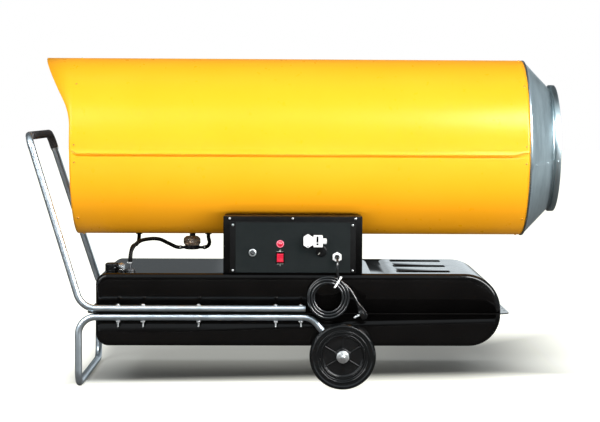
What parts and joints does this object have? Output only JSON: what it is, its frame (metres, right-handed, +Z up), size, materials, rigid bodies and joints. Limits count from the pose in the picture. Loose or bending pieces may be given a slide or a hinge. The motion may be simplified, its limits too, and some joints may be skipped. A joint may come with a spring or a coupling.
{
  "type": "forced air heater",
  "caption": "Wheeled diesel forced air heater: long sheet barrel on a control box and flat fuel tank, with tube handle, foot, wheels and mains lead.",
  "frame": {"origin": "on the floor, under the middle of the length and width of the heater without its mains lead", "axes": "+X along the barrel towards the hot air outlet, +Z up, so the control panel faces -Y and the handle is at -X"},
  "size_m": [1.6277, 0.7474, 0.9926],
  "materials": {
    "yellow_paint": "semi-gloss powder coat",
    "tank_paint": "gloss black",
    "housing_paint": "satin black",
    "panel_paint": "satin dark grey",
    "tube_zinc": "bright zinc",
    "outlet_zinc": "galvanised",
    "fastener_zinc": "zinc plated",
    "heat_steel": "heat-tinted steel",
    "dark_steel": "plain steel",
    "cast_alloy": "as cast",
    "brass": "machined",
    "tyre_rubber": "matt",
    "black_plastic": "satin",
    "red_plastic": "translucent",
    "white_plastic": "satin",
    "clear_plastic": "clear",
    "amber_plastic": "translucent",
    "hose_rubber": "matt",
    "cable_rubber": "matt"
  },
  "bodies": {
    "heater": {"lower_casing": "yellow_paint", "upper_casing": "yellow_paint", "outlet_cone": "outlet_zinc", "combustion_chamber": "heat_steel", "burner_head": "dark_steel", "burner_nozzle": "brass", "photocell": "black_plastic", "fan_motor": "dark_steel", "motor_cradle": "fastener_zinc", "fuel_pump": "cast_alloy", "intake_guard": "fastener_zinc", "tank_upper_shell": "tank_paint", "tank_lower_shell": "tank_paint", "drain_plug": "fastener_zinc", "fuel_gauge": "clear_plastic", "fuel_pickup": "fastener_zinc", "handle_tube": "tube_zinc", "handle_grip": "black_plastic", "foot_tube": "tube_zinc", "axle": "fastener_zinc", "axle_nut": "fastener_zinc", "control_housing": "housing_paint", "control_panel": "panel_paint", "pilot_lamp": "red_plastic", "rocker_bezel": "black_plastic", "reset_collar": "fastener_zinc", "thermostat_socket": "black_plastic", "cable_gland": "white_plastic", "ignition_transformer": "dark_steel", "filter_head": "black_plastic", "filter_bowl": "amber_plastic", "tank_hose": "hose_rubber", "feed_hose": "hose_rubber", "return_hose": "hose_rubber", "cord_lead": "cable_rubber", "cord_coil": "cable_rubber", "cord_tail": "cable_rubber", "plug": "cable_rubber", "cable_tie": "white_plastic", "clamp_bolt_right_1": "fastener_zinc", "clamp_bolt_right_2": "fastener_zinc", "clamp_bolt_right_3": "fastener_zinc", "clamp_bolt_right_4": "fastener_zinc", "clamp_bolt_right_5": "fastener_zinc", "clamp_bolt_left_1": "fastener_zinc", "clamp_bolt_left_2": "fastener_zinc", "clamp_bolt_left_3": "fastener_zinc", "clamp_bolt_left_4": "fastener_zinc", "clamp_bolt_left_5": "fastener_zinc"},
    "wheel_right": {"tyre_right": "tyre_rubber", "wheel_hub_right": "black_plastic"},
    "wheel_left": {"tyre_left": "tyre_rubber", "wheel_hub_left": "black_plastic"},
    "fan_rotor": {"fan": "cast_alloy", "motor_shaft": "fastener_zinc"},
    "rocker": {"rocker_switch": "red_plastic"},
    "reset_push": {"reset_button": "clear_plastic"},
    "thermostat_dial": {"thermostat_knob": "black_plastic"},
    "cap": {"filler_cap": "black_plastic"},
    "thermostat_connector": {"thermostat_plug": "white_plastic"}
  },
  "joints": [
    {"name": "wheel_right_spin", "type": "hinge", "parent": "heater", "child": "wheel_right", "pos_m": [0.14377, -0.34015, 0.09952], "axis": [0, 1, 0], "continuous": true},
    {"name": "wheel_left_spin", "type": "hinge", "parent": "heater", "child": "wheel_left", "pos_m": [0.14377, 0.34015, 0.09952], "axis": [0, 1, 0], "continuous": true},
    {"name": "fan_spin", "type": "hinge", "parent": "heater", "child": "fan_rotor", "pos_m": [-0.59323, 0, 0.717], "axis": [1, 0, 0], "continuous": true},
    {"name": "rocker_tilt", "type": "hinge", "parent": "heater", "child": "rocker", "pos_m": [-0.04423, -0.2883, 0.39], "axis": [1, 0, 0], "range_deg": [-14, 0]},
    {"name": "reset_press", "type": "slide", "parent": "heater", "child": "reset_push", "axis": [0, 1, 0], "range_m": [0, 0.003], "stiffness_N_per_m": 300},
    {"name": "thermostat_turn", "type": "hinge", "parent": "heater", "child": "thermostat_dial", "pos_m": [0.07877, -0.2883, 0.41], "axis": [0, 1, 0], "range_deg": [0, 270]},
    {"name": "cap_lift", "type": "slide", "parent": "heater", "child": "cap", "axis": [0, 0, 1], "range_m": [0, 0.06]},
    {"name": "connector_pull", "type": "slide", "parent": "heater", "child": "thermostat_connector", "axis": [0, -1, 0], "range_m": [0, 0.03]}
  ]
}
